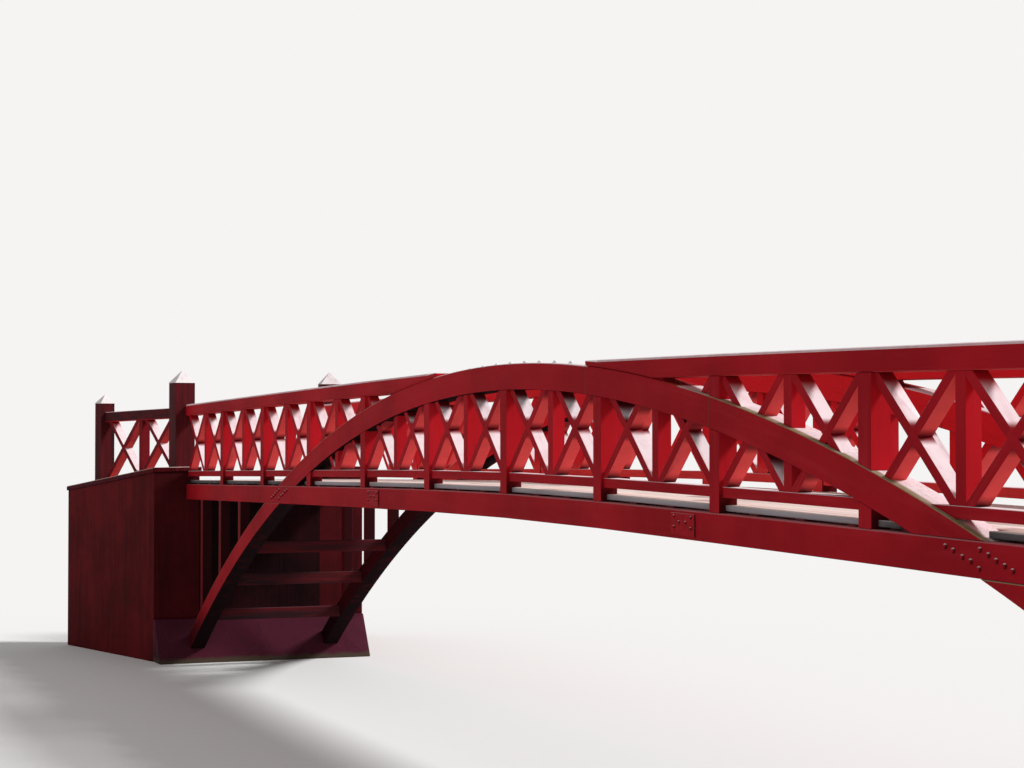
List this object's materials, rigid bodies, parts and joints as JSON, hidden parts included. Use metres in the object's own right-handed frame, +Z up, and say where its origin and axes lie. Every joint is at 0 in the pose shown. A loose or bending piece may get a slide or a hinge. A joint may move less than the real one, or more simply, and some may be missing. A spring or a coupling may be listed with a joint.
{
  "type": "moon bridge",
  "caption": "Cambered timber footbridge hung on two arch ribs that rise through crossed-brace parapets, with plinths, splayed wings and capped end posts.",
  "frame": {"origin": "middle of the bridge in plan, at the waterline where the plinths and wing walls stand", "axes": "+X along the bridge, +Y across it to the back parapet, +Z up"},
  "size_m": [30.0934, 4.3788, 4.0168],
  "materials": {
    "timber_paint": "crimson gloss paint on planed timber",
    "under_timber": "dull dark red paint on timber",
    "deck_boards": "bare weathered boards",
    "wall_paint": "dark red paint, faded in patches",
    "plinth_paint": "faded pink-red paint with algae at the water",
    "plate_paint": "crimson gloss paint on steel"
  },
  "bodies": {
    "root": {"plinth_left": "plinth_paint", "plinth_right": "plinth_paint", "front_wall_left": "wall_paint", "front_wall_right": "wall_paint", "wing_wall_left_front": "wall_paint", "wing_wall_left_back": "wall_paint", "wing_wall_right_front": "wall_paint", "wing_wall_right_back": "wall_paint", "copings": "wall_paint", "thresholds": "under_timber", "rib_front": "timber_paint", "rib_back": "timber_paint", "struts_front": "timber_paint", "struts_back": "timber_paint", "ties_left": "timber_paint", "ties_right": "timber_paint", "stringer_front": "timber_paint", "stringer_back": "timber_paint", "splice_plates": "plate_paint", "joists": "under_timber", "deck": "deck_boards", "main_posts_front": "timber_paint", "main_posts_back": "timber_paint", "uprights_front": "timber_paint", "uprights_back": "timber_paint", "bottom_rail_front": "timber_paint", "bottom_rail_back": "timber_paint", "lattice_front_left": "timber_paint", "lattice_front_right": "timber_paint", "lattice_back_left": "timber_paint", "lattice_back_right": "timber_paint", "top_rail_front_left": "timber_paint", "top_rail_front_right": "timber_paint", "top_rail_back_left": "timber_paint", "top_rail_back_right": "timber_paint", "tall_posts": "timber_paint", "wing_posts": "timber_paint", "post_caps": "timber_paint", "wing_rails": "timber_paint", "wing_lattices": "timber_paint"}
  },
  "joints": []
}
